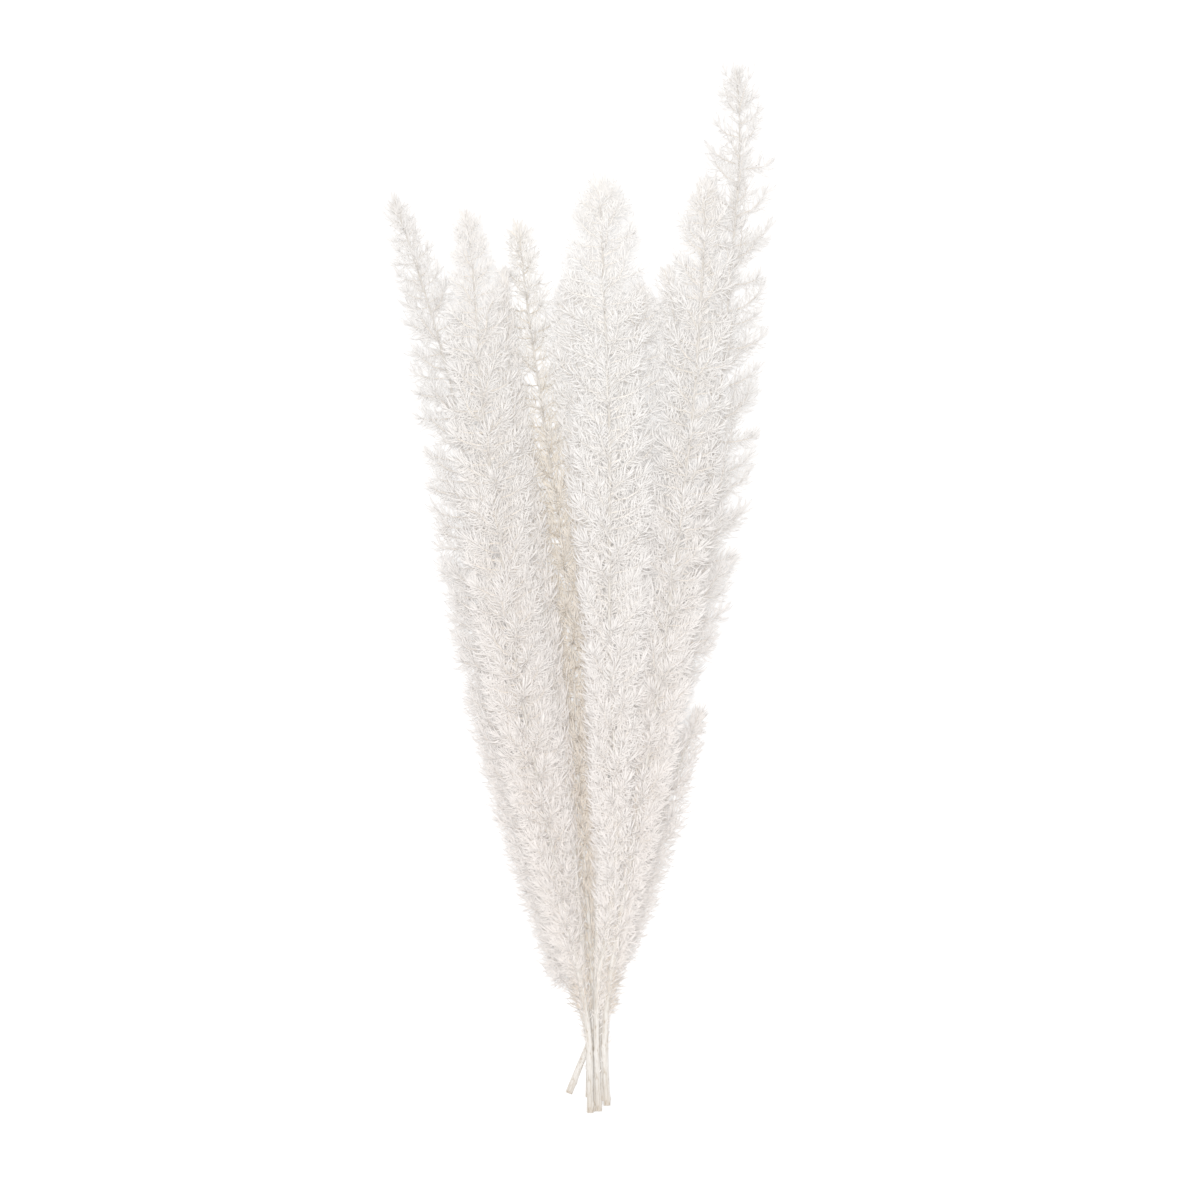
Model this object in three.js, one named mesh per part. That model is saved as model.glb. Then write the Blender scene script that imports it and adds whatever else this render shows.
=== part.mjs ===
// A bundle of eleven dried foxtail fern plumes lying on its side, with the cut ends of its stems
// gathered in a narrow neck. Each plume is a woody stem and the sleeve of foliage that grows round
// it. Millimetres, +Z up. The bundle lies along Y: cut ends at -Y, tips at +Y, on the plane z = 0.

import * as THREE from 'three';

const STEM_CLEARANCE = 0.35; // between a stem and the foliage round it
const FOLIAGE_GAP = 1.2; // between the foliage of two plumes that press on each other
const FOLIAGE_WALL = 0.8; // thinnest foliage over a stem
const FOLIAGE_FOOT = 8; // radius of the foliage where the bare stem ends
const FOLIAGE_SIDES = 12;
const STEM_SIDES = 8;
const STATION_STEP = 22; // spacing of the rings of a plume along its stem
const STEM_TIP_DEPTH = 34; // how far the stem ends below the tip of its foliage
const STEM_TIP_RADIUS = 0.7;
const ROUTE_SAMPLES = 240; // points tried when looking for the nearest point of a neighbour

// The end of a plume narrows over a length: its radius falls as (1 - x^rise)^fall from x = 0 to 1.
const SLENDER_TIP = { length: 120, rise: 1.25, fall: 1 };
const POINTED_TIP = { length: 70, rise: 1.4, fall: 0.9 };
const ROUND_TIP = { length: 60, rise: 2.4, fall: 0.5 };

// Each plume: the radius of its stem at the cut, the radius of its foliage where it is fullest,
// the lengths along the stem where the foliage starts and where it is full, the form of its tip,
// and its route, from the cut end to the tip, as [x, y, z].
const PLUMES = {
  far_left: {
    stem: 1.6,
    foliage: 20,
    starts: 73,
    full: 420,
    tip: SLENDER_TIP,
    route: [
      [5, -317, 6.8], [4.6, -278, 6.8], [-8, -236, 8.5], [-31, -151, 12], [-53, -55, 14],
      [-67, 30, 16], [-74, 90, 17], [-82, 135, 17], [-97, 187, 16], [-116, 245, 15],
    ],
  },
  left_front: {
    stem: 2.2,
    foliage: 20,
    starts: 94,
    full: 330,
    tip: SLENDER_TIP,
    route: [
      [6.5, -326, 15.2], [5.6, -278, 15.2], [0, -240, 22], [-9, -200, 31], [-23, -130, 43],
      [-35, -70, 51], [-44, -10, 57], [-51, 50, 60], [-59, 105, 61], [-65, 190, 57], [-70, 233, 54],
    ],
  },
  left_inner: {
    stem: 1.7,
    foliage: 18,
    starts: 106,
    full: 330,
    tip: POINTED_TIP,
    route: [
      [6.3, -320, 10.7], [6, -278, 10.7], [3, -240, 15.5], [-1, -190, 23], [-9, -105, 33],
      [-22, -15, 38], [-37, 77, 41], [-45, 155, 40], [-47.5, 198, 38],
    ],
  },
  middle_low: {
    stem: 1.6,
    foliage: 13,
    starts: 112,
    full: 330,
    tip: POINTED_TIP,
    route: [
      [8.6, -326, 6.8], [8.3, -278, 6.8], [8, -245, 7.5], [0, -130, 10], [-7, -5, 11],
      [-20, 90, 11], [-33, 180, 11], [-38.7, 229, 11],
    ],
  },
  centre_left: {
    stem: 1.7,
    foliage: 18,
    starts: 144,
    full: 330,
    tip: ROUND_TIP,
    route: [
      [10, -322, 10.7], [10, -278, 10.7], [10, -245, 15.5], [11.5, -190, 25], [14, -130, 32],
      [11, -30, 38], [1, 80, 40], [-4, 196, 37],
    ],
  },
  centre_front: {
    stem: 2,
    foliage: 23,
    starts: 121,
    full: 360,
    tip: ROUND_TIP,
    route: [
      [11.9, -325, 15.2], [10.6, -278, 15.2], [11.5, -245, 21], [19, -200, 31], [23, -150, 42],
      [19, -40, 58], [18.5, 30, 63], [18.5, 100, 65], [14, 215, 61], [13, 254, 58],
    ],
  },
  centre_right: {
    stem: 1.7,
    foliage: 19,
    starts: 128,
    full: 330,
    tip: ROUND_TIP,
    route: [
      [14, -319, 10.7], [14, -278, 10.7], [15.5, -245, 15], [19, -195, 20], [33, -75, 27],
      [37, 5, 28], [33, 105, 28], [38, 190, 27],
    ],
  },
  right_low: {
    stem: 1.6,
    foliage: 16,
    starts: 130,
    full: 330,
    tip: POINTED_TIP,
    route: [
      [11.8, -320, 6.8], [11.9, -278, 6.8], [14, -250, 7.5], [28, -155, 11.5], [47, -42, 14],
      [61, 88, 14], [61, 150, 14], [55, 202, 13],
    ],
  },
  right_front: {
    stem: 2.2,
    foliage: 19,
    starts: 97,
    full: 330,
    tip: ROUND_TIP,
    route: [
      [17, -321.5, 15.2], [15.6, -278, 15.2], [18.7, -245, 20.5], [26, -200, 28], [44, -92, 44],
      [58, 10, 50], [70, 110, 51], [77, 215, 48], [78, 254, 45],
    ],
  },
  far_right: {
    stem: 1.6,
    foliage: 24,
    starts: 244,
    full: 325,
    tip: SLENDER_TIP,
    route: [
      [15.3, -316, 6.8], [15.6, -278, 6.8], [18.5, -255, 9], [25, -215, 13], [36, -155, 16],
      [51, -80, 18], [68, -5, 20], [83, 75, 20], [90, 150, 20], [100, 280, 18], [98, 325, 18],
    ],
  },
  short_right: {
    stem: 2.2,
    foliage: 11,
    starts: 96,
    full: 180,
    tip: POINTED_TIP,
    route: [
      [-7, -315, 2.25], [3.4, -289, 2.25], [14, -262, 2.6], [26, -222, 5.5], [41, -173, 8.5],
      [55, -129, 9.5], [75, -75, 10],
    ],
  },
};

const UP = new THREE.Vector3(0, 0, 1);

const foliageMaterial = new THREE.MeshStandardMaterial({ color: 0xf0ece7, roughness: 0.9 });
foliageMaterial.name = 'foliage';
const stemMaterial = new THREE.MeshStandardMaterial({ color: 0xe8e2d8, roughness: 0.8 });
stemMaterial.name = 'stem';

// A plume with its route as a curve and evenly spread points on it, for finding neighbours.
function growPlume([name, sizes]) {
  const points = sizes.route.map((point) => new THREE.Vector3(...point));
  const curve = new THREE.CatmullRomCurve3(points, false, 'centripetal');
  const samples = curve.getSpacedPoints(ROUTE_SAMPLES);
  return { name, ...sizes, curve, length: curve.getLength(), samples };
}

// Radius of the stem at a length from its cut end: an even taper.
function stemRadius(plume, along) {
  return THREE.MathUtils.lerp(plume.stem, STEM_TIP_RADIUS, along / plume.length);
}

// Radius that a plume would have on its own at a length from its cut end. Just below its foliage the
// room that it claims grows from the bare stem's, so that its neighbours make way for it gradually.
function looseRadius(plume, along) {
  const bare = stemRadius(plume, along) + STEM_CLEARANCE;
  if (along < plume.starts) {
    const below = (plume.starts - along) / STATION_STEP;
    return Math.max(THREE.MathUtils.lerp(FOLIAGE_FOOT, bare, below), bare);
  }
  const grown = THREE.MathUtils.clamp((along - plume.starts) / (plume.full - plume.starts), 0, 1);
  const body = THREE.MathUtils.lerp(FOLIAGE_FOOT, plume.foliage, Math.sin((grown * Math.PI) / 2));
  const { length, rise, fall } = plume.tip;
  const x = THREE.MathUtils.clamp((along - plume.length + length) / length, 0, 1);
  return Math.max(body * (1 - x ** rise) ** fall, bare);
}

// The place on a plume's stem at a length from its cut end: a point, and two directions across.
function stationOf(plume, along) {
  const at = along / plume.length;
  const point = plume.curve.getPointAt(at);
  const tangent = plume.curve.getTangentAt(at);
  const side = new THREE.Vector3().crossVectors(tangent, UP).normalize();
  const rise = new THREE.Vector3().crossVectors(side, tangent);
  return { point, side, rise };
}

// For each other plume, the way to the nearest point of its stem and how far off their border is.
// The border shares the distance between two stems in the ratio of the radii that the plumes would
// have on their own, and stays clear of the other stem.
function neighboursOf(plume, plumes, station, along) {
  const own = looseRadius(plume, along);
  return plumes.filter((other) => other !== plume).map((other) => {
    const gaps = other.samples.map((sample) => sample.distanceTo(station.point));
    const distance = Math.min(...gaps);
    const index = gaps.indexOf(distance);
    const there = (index / ROUTE_SAMPLES) * other.length;
    const share = (distance * own) / (own + looseRadius(other, there));
    const room = distance - stemRadius(other, there) - STEM_CLEARANCE;
    const towards = other.samples[index].clone().sub(station.point).normalize();
    return { towards, border: Math.min(share, room) - FOLIAGE_GAP / 2 };
  });
}

// Radius of the foliage in one direction: its own, cut back where it presses on a neighbour or lies
// on the ground.
function pressedRadius(plume, along, station, neighbours, direction) {
  let radius = looseRadius(plume, along);
  for (const { towards, border } of neighbours) {
    const facing = direction.dot(towards);
    if (facing > 0) {
      radius = Math.min(radius, border / facing);
    }
  }
  radius = Math.max(radius, stemRadius(plume, along) + STEM_CLEARANCE + FOLIAGE_WALL);
  if (direction.z < 0) {
    radius = Math.min(radius, station.point.z / -direction.z);
  }
  return radius;
}

// A closed skin round a plume's stem. Each ring has a length along the stem and a function that
// gives its radius in a direction; the first and last rings have none, and close on the stem's line.
function skin(plume, rings, sides) {
  const profile = rings.map((ring, index) => new THREE.Vector2(ring.radius ? 1 : 0, index));
  const geometry = new THREE.LatheGeometry(profile, sides, Math.PI / sides);
  const position = geometry.getAttribute('position');
  const stations = rings.map((ring) => stationOf(plume, ring.along));
  const direction = new THREE.Vector3();
  const vertex = new THREE.Vector3();
  for (let i = 0; i < position.count; i += 1) {
    const index = i % rings.length;
    const { side, rise, point } = stations[index];
    const radius = rings[index].radius;
    vertex.copy(point);
    if (radius) {
      direction.copy(side).multiplyScalar(position.getX(i));
      direction.addScaledVector(rise, position.getZ(i));
      direction.normalize();
      vertex.addScaledVector(direction, radius(direction));
    }
    position.setXYZ(i, vertex.x, vertex.y, Math.max(vertex.z, 0));
  }
  geometry.computeVertexNormals();
  return geometry;
}

// Lengths along a plume from one to another, in even steps no longer than the given one.
function steps(from, to, longest) {
  const count = Math.ceil((to - from) / longest);
  return Array.from({ length: count + 1 }, (unused, index) => from + ((to - from) * index) / count);
}

// Where a stem has its rings: close together along the bare part and further apart in the foliage.
function stemStations(plume) {
  const bare = steps(0, plume.starts, STATION_STEP);
  const covered = steps(plume.starts, plume.length - STEM_TIP_DEPTH, 2 * STATION_STEP);
  return { bare, covered };
}

// The stem is a tapered rod with a flat cut at its foot.
function makeStem(plume) {
  const { bare, covered } = stemStations(plume);
  const round = [...bare, ...covered.slice(1)].map((along) => {
    return { along, radius: () => stemRadius(plume, along) };
  });
  const end = round[round.length - 1].along;
  const rings = [{ along: 0 }, ...round, { along: end }];
  const mesh = new THREE.Mesh(skin(plume, rings, STEM_SIDES), stemMaterial.clone());
  mesh.name = `stem_${plume.name}`;
  return mesh;
}

// The foliage is a sleeve: a bore that follows the stem and is open at the bottom, the rim round
// it, and the outside, which closes at the tip.
function makeFoliage(plume, plumes) {
  const { covered } = stemStations(plume);
  const top = covered[covered.length - 1] + 2 * STEM_CLEARANCE;
  const bore = [...covered, top].map((along) => {
    const clear = stemRadius(plume, along) + STEM_CLEARANCE;
    return { along, radius: () => clear / Math.cos(Math.PI / FOLIAGE_SIDES) };
  });
  const body = steps(plume.starts, plume.length - STEM_TIP_DEPTH, STATION_STEP);
  const tip = steps(plume.length - STEM_TIP_DEPTH, plume.length - 1, STEM_TIP_DEPTH / 4).slice(1);
  const outside = [...body, ...tip].map((along) => {
    const station = stationOf(plume, along);
    const neighbours = neighboursOf(plume, plumes, station, along);
    const radius = (direction) => pressedRadius(plume, along, station, neighbours, direction);
    return { along, radius };
  });
  const rings = [{ along: top }, ...bore.reverse(), ...outside, { along: plume.length }];
  const mesh = new THREE.Mesh(skin(plume, rings, FOLIAGE_SIDES), foliageMaterial.clone());
  mesh.name = `foliage_${plume.name}`;
  return mesh;
}

const plumes = Object.entries(PLUMES).map(growPlume);
const bundle = new THREE.Group();
for (const plume of plumes) {
  const group = new THREE.Group();
  group.name = `plume_${plume.name}`;
  group.add(makeStem(plume));
  group.add(makeFoliage(plume, plumes));
  bundle.add(group);
}

// The origin is at the middle of the bundle's box, on the ground.
const box = new THREE.Box3().setFromObject(bundle);
const middle = box.getCenter(new THREE.Vector3());
bundle.position.set(-middle.x, -middle.y, 0);

export default bundle;
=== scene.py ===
"""A fanned bundle of bleached foxtail fern plumes, lying on a pale surface.

Each plume is a ridged woody stem and the foliage round it: side shoots set in a spiral, each one a
thin twig with a brush of needles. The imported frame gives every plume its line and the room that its
foliage fills; the meshes here grow inside that room. All sizes are in metres.
"""
import logging
import math
from dataclasses import dataclass, field
from enum import Enum
from typing import Optional, Tuple

import bpy
import numpy as np
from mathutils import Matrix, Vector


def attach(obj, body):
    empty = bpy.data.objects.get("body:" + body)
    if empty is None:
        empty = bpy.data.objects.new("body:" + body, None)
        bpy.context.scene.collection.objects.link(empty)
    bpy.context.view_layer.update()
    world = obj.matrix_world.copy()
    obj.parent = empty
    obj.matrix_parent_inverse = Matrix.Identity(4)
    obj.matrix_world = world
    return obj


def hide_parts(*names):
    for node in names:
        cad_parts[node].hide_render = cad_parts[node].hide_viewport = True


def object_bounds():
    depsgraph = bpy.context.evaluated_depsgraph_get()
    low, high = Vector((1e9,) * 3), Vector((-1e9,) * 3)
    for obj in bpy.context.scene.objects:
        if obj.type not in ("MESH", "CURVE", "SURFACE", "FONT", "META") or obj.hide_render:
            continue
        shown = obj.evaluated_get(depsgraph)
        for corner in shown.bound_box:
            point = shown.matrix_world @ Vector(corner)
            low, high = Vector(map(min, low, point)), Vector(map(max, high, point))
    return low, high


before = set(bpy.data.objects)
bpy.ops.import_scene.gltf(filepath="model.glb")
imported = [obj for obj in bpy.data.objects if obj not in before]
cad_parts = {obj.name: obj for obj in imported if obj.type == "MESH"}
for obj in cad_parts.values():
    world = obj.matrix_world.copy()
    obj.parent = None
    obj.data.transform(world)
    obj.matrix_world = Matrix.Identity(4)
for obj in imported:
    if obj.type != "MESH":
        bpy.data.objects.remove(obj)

CAD_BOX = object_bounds()
LOG = logging.getLogger("fern_bundle")

MM = 0.001
UP = np.array([0.0, 0.0, 1.0])
GOLDEN_ANGLE = math.pi * (3.0 - math.sqrt(5.0))
FINISH_MAP = "OFBake"
TWIG_BAND = 0.06  # the part of the finish map's tone axis that twigs use; needles use the rest
TONE_WIDTH = 0.012  # how much of the tone axis one needle spans
SPIKE_SIDES = 3

Array = np.ndarray
Material = bpy.types.Material
Socket = bpy.types.NodeSocket
Colour = Tuple[float, float, float]
Triple = Tuple[float, float, float]
Span = Tuple[float, float]

PLAIN = (1.0, 1.0, 1.0)  # the colour that changes nothing in a product


class Habit(Enum):
    """How closely the side shoots of a plume stand."""

    DENSE = "dense"
    AIRY = "airy"
    OPEN = "open"


class Bleach(Enum):
    """How a plume has taken the bleach. Pearl is painted light, a paler ivory for the plume nearest the
    light; ashen is partly a grey tint and partly painted shade; tan holds the painted shade in the gap down
    the middle, below the plume's own colour.
    """

    PEARL_LIT = "pearl"
    IVORY = "ivory"
    CREAM = "cream"
    ASHEN_SHADED = "ashen"
    TAN_GAP_SHADE = "tan"


def unit(vectors: Array) -> Array:
    """Scales vectors along the last axis to length one, each divided by its own length."""
    return vectors / np.maximum(np.linalg.norm(vectors, axis=-1, keepdims=True), 1e-12)


def columns(values: Array) -> Array:
    """Adds a last axis of one, so that numbers scale vectors."""
    return np.asarray(values)[..., None]


def ease(x: Array) -> Array:
    """Smooth rise from 0 to 1: three x squared less two x cubed, with x held between 0 and 1."""
    x = np.clip(x, 0.0, 1.0)
    return x * x * (3.0 - 2.0 * x)


def node_points(name: str) -> Array:
    """Gives the separate corner points of a node of the frame.

    Args:
        name: The node's name.

    Returns:
        An array of points, each one once.
    """
    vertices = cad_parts[name].data.vertices
    flat = np.empty(len(vertices) * 3)
    vertices.foreach_get("co", flat)
    return np.unique(np.round(flat.reshape(-1, 3), 6), axis=0)


# Lines and the room round them


@dataclass(frozen=True)
class Station:
    """Places on a stem: points, the way along, and two directions across."""

    points: Array
    along: Array
    side: Array
    rise: Array

    def outward(self, angles: Array) -> Array:
        """Directions away from the stem: cosine of the angle times side, plus sine times rise."""
        return columns(np.cos(angles)) * self.side + columns(np.sin(angles)) * self.rise


@dataclass(frozen=True)
class Route:
    """The line of a stem, sampled closely by length from its cut end."""

    lengths: Array
    points: Array

    STEP = 1.0 * MM

    @classmethod
    def through(cls, knots: Array) -> "Route":
        """Draws a smooth line through points.

        Between two knots the line is the cubic Hermite curve whose end slopes are the central
        differences of the knots over their chord lengths.

        Args:
            knots: The points in order.

        Returns:
            The line, sampled every STEP.
        """
        chord = np.concatenate([[0.0], np.cumsum(np.linalg.norm(np.diff(knots, axis=0), axis=1))])
        slopes = np.gradient(knots, chord, axis=0)
        fine = np.linspace(0.0, chord[-1], int(chord[-1] / cls.STEP) + 1)
        index = np.clip(np.searchsorted(chord, fine, side="right") - 1, 0, len(chord) - 2)
        span = columns(chord[index + 1] - chord[index])
        u = columns(fine - chord[index]) / span
        points = (2 * u**3 - 3 * u**2 + 1) * knots[index] + (3 * u**2 - 2 * u**3) * knots[index + 1]
        points += span * ((u**3 - 2 * u**2 + u) * slopes[index] + (u**3 - u**2) * slopes[index + 1])
        steps = np.linalg.norm(np.diff(points, axis=0), axis=1)
        return cls(np.concatenate([[0.0], np.cumsum(steps)]), points)

    @property
    def length(self) -> float:
        """Length from the cut end to the tip."""
        return float(self.lengths[-1])

    def station(self, along: Array) -> Station:
        """Gives the place on the line at each length from the cut end.

        Args:
            along: Lengths; those past an end are carried on straight.

        Returns:
            The places.
        """
        held = np.clip(along, 0.0, self.length)
        tangents = unit(np.gradient(self.points, self.lengths, axis=0))
        point, tangent = (
            np.stack([np.interp(held, self.lengths, axis) for axis in values.T], axis=-1)
            for values in (self.points, tangents)
        )
        tangent = unit(tangent)
        side = unit(np.cross(tangent, UP))
        return Station(point + columns(along - held) * tangent, tangent, side, np.cross(side, tangent))

    def locate(self, points: Array) -> Tuple[Array, Array, Array]:
        """Finds where points lie round the line.

        Args:
            points: The points.

        Returns:
            Their lengths along the line, their angles round it and their distances from it.
        """
        spread = np.linalg.norm(points[:, None, :] - self.points[None, ::2, :], axis=-1)
        along = self.lengths[::2][np.argmin(spread, axis=1)]
        for _ in range(2):
            place = self.station(along)
            along = along + np.sum((points - place.points) * place.along, axis=-1)
        place = self.station(along)
        offset = points - place.points
        across = np.sum(offset * place.side, axis=-1)
        above = np.sum(offset * place.rise, axis=-1)
        return along, np.arctan2(above, across), np.hypot(across, above)


@dataclass(frozen=True)
class Room:
    """How far the foliage may reach from the stem, by length along it and angle round it."""

    lengths: Array
    reach: Array

    COLUMNS = 12
    STEP = 2.0 * MM

    @classmethod
    def around(cls, route: Route, points: Array) -> "Room":
        """Reads the room from the outer corner points of a foliage solid.

        The points stand in straight columns along the solid. Each column's distance from the stem
        is joined up by straight lines over the length.

        Args:
            route: The stem's line.
            points: The solid's outer corner points.

        Returns:
            The room.
        """
        along, angle, distance = route.locate(points)
        turn = 2.0 * np.pi / cls.COLUMNS
        column = np.floor(np.mod(angle, 2.0 * np.pi) / turn).astype(int) % cls.COLUMNS
        lengths = np.arange(along.min(), along.max(), cls.STEP)
        reach = np.empty((len(lengths), cls.COLUMNS))
        for index in range(cls.COLUMNS):
            chosen = np.flatnonzero(column == index)
            order = chosen[np.argsort(along[chosen])]
            reach[:, index] = np.interp(lengths, along[order], distance[order])
        return cls(lengths, reach)

    def at(self, along: Array, angle: Array) -> Array:
        """Gives the reach, joined up by straight lines along and round.

        Args:
            along: Lengths from the cut end.
            angle: Angles round the stem.

        Returns:
            The distance from the stem that the foliage may fill.
        """
        row = np.clip((along - self.lengths[0]) / self.STEP, 0.0, len(self.lengths) - 1.001)
        turn = np.mod(angle / (2.0 * np.pi) * self.COLUMNS - 0.5, self.COLUMNS)
        low, left = row.astype(int), turn.astype(int) % self.COLUMNS
        right = (left + 1) % self.COLUMNS
        up, over = row - low, turn - np.floor(turn)
        near = self.reach[low, left] * (1 - over) + self.reach[low, right] * over
        far = self.reach[low + 1, left] * (1 - over) + self.reach[low + 1, right] * over
        return near * (1 - up) + far * up


# Meshes


@dataclass
class MeshParts:
    """A growing mesh: runs of points, faces' corner numbers, face sizes and finish coordinates."""

    runs: list = field(default_factory=list)
    count: int = 0

    def add(self, points: Array, corners: Array, sizes: Array, maps: Array) -> None:
        """Adds faces.

        Args:
            points: New corner points.
            corners: The faces' corner numbers, one face after another, counted from these points.
            sizes: The number of corners of each face.
            maps: The finish map's two coordinates at each of the faces' corners.
        """
        self.runs.append((points, corners + self.count, sizes, maps))
        self.count += len(points)

    def build(self, name: str, material: Material) -> bpy.types.Object:
        """Makes the object, smooth and with its finish map.

        Args:
            name: The piece's name.
            material: Its finish.

        Returns:
            The object, in the scene.
        """
        points, corners, sizes, maps = (np.concatenate(column) for column in zip(*self.runs))
        starts = np.concatenate([[0], np.cumsum(sizes)[:-1]])
        mesh = bpy.data.meshes.new(name)
        mesh.vertices.add(len(points))
        mesh.vertices.foreach_set("co", points.astype(np.float32).ravel())
        mesh.loops.add(len(corners))
        mesh.loops.foreach_set("vertex_index", corners.astype(np.int32))
        mesh.polygons.add(len(sizes))
        mesh.polygons.foreach_set("loop_start", starts.astype(np.int32))
        mesh.polygons.foreach_set("use_smooth", np.ones(len(sizes), dtype=bool))
        mesh.uv_layers.new(name=FINISH_MAP)
        mesh.uv_layers[FINISH_MAP].data.foreach_set("uv", maps.astype(np.float32).ravel())
        mesh.update(calc_edges=True)
        mesh.validate()
        mesh.materials.append(material)
        piece = bpy.data.objects.new(name, mesh)
        bpy.context.scene.collection.objects.link(piece)
        LOG.info("%s: %d faces", name, len(mesh.polygons))
        return piece


def add_spikes(parts: MeshParts, centres: Array, radii: Array, tone: Array) -> None:
    """Adds many thin closed spikes, such as needles and twigs.

    Each spike has a ring of corners at every centre but the last, which is its point. A ring's
    corners lie at even angles round the centre, at right angles to the spike's first stretch.

    Args:
        parts: The mesh to add to.
        centres: Points along each spike, as (spike, ring, 3).
        radii: Ring radii, as (spike, ring), one fewer than the centres.
        tone: Each spike's place on the finish map's tone axis.
    """
    number, rings = radii.shape
    sides = SPIKE_SIDES
    along = unit(centres[:, 1] - centres[:, 0])
    helper = np.where(np.abs(along[:, 2:3]) > 0.9, np.array([[1.0, 0.0, 0.0]]), UP)
    first = unit(np.cross(helper, along))
    second = np.cross(along, first)
    angle = 2.0 * np.pi * np.arange(sides) / sides
    round_it = np.cos(angle)[:, None] * first[:, None, :] + np.sin(angle)[:, None] * second[:, None, :]
    ring_points = centres[:, :rings, None, :] + radii[..., None, None] * round_it[:, None]
    each = rings * sides + 1
    points = np.concatenate([ring_points.reshape(number, rings * sides, 3), centres[:, -1:]], axis=1)

    steps = np.linspace(0.0, 1.0, rings + 1)
    across = np.concatenate([np.repeat(steps[:-1], sides), [1.0]])
    offset = np.concatenate([np.tile(np.arange(sides) / (sides - 1), rings), [0.5]]) * TONE_WIDTH
    maps = np.empty((number, each, 2))
    maps[..., 0] = across
    maps[..., 1] = np.clip(tone[:, None], 0.0, 1.0 - TONE_WIDTH) + offset

    edges = [(base + j, base + (j + 1) % sides) for base in range(0, each - 1, sides) for j in range(sides)]
    faces = [list(range(sides))[::-1]]
    faces += [[left, right, right + sides, left + sides] for left, right in edges[:-sides]]
    faces += [[left, right, each - 1] for left, right in edges[-sides:]]
    corners = (np.concatenate(faces)[None, :] + np.arange(number)[:, None] * each).ravel()
    sizes = np.tile([len(face) for face in faces], number)
    parts.add(points.reshape(-1, 3), corners, sizes, maps.reshape(-1, 2)[corners])


def skin_corners(grid: Array, start: Array, end: Array) -> Array:
    """Picks the corners of a closed skin's faces: quads between its rows, then fans at its ends.

    Args:
        grid: A value for each corner point, in rows along the skin.
        start: For each face of the first fan, the value of the point before the rows.
        end: For each face of the last fan, the value of the point after them.

    Returns:
        The values at the faces' corners, one face after another.
    """
    quads = np.stack([grid[:-1, :-1], grid[:-1, 1:], grid[1:, 1:], grid[1:, :-1]], axis=2)
    first = np.stack([start, grid[0, 1:], grid[0, :-1]], axis=1)
    last = np.stack([grid[-1, :-1], grid[-1, 1:], end], axis=1)
    return np.concatenate([faces.reshape(-1, *grid.shape[2:]) for faces in (quads, first, last)])


def add_skin(parts: MeshParts, rings: Array, maps: Array) -> None:
    """Adds a closed skin through rings of points.

    The first and last rings are drawn together to single points, so both ends are closed.

    Args:
        parts: The mesh to add to.
        rings: Points as (ring, corner, 3), turning left round the way along.
        maps: The finish map's coordinates, as (ring, corner + 1, 2), because the seam has two.
    """
    count, sides = rings.shape[:2]
    points = np.concatenate([rings[:1, 0], rings[1:-1].reshape(-1, 3), rings[-1:, 0]])
    number = 1 + np.arange((count - 2) * sides).reshape(count - 2, sides)
    wrap = np.concatenate([number, number[:, :1]], axis=1)
    corners = skin_corners(wrap, np.zeros(sides, int), np.full(sides, len(points) - 1))
    middle = (maps[:, :-1] + maps[:, 1:]) / 2.0
    sizes = np.repeat([4, 3], [(count - 3) * sides, 2 * sides])
    parts.add(points, corners, sizes, skin_corners(maps[1:-1], middle[0], middle[-1]))


# Finishes


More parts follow.
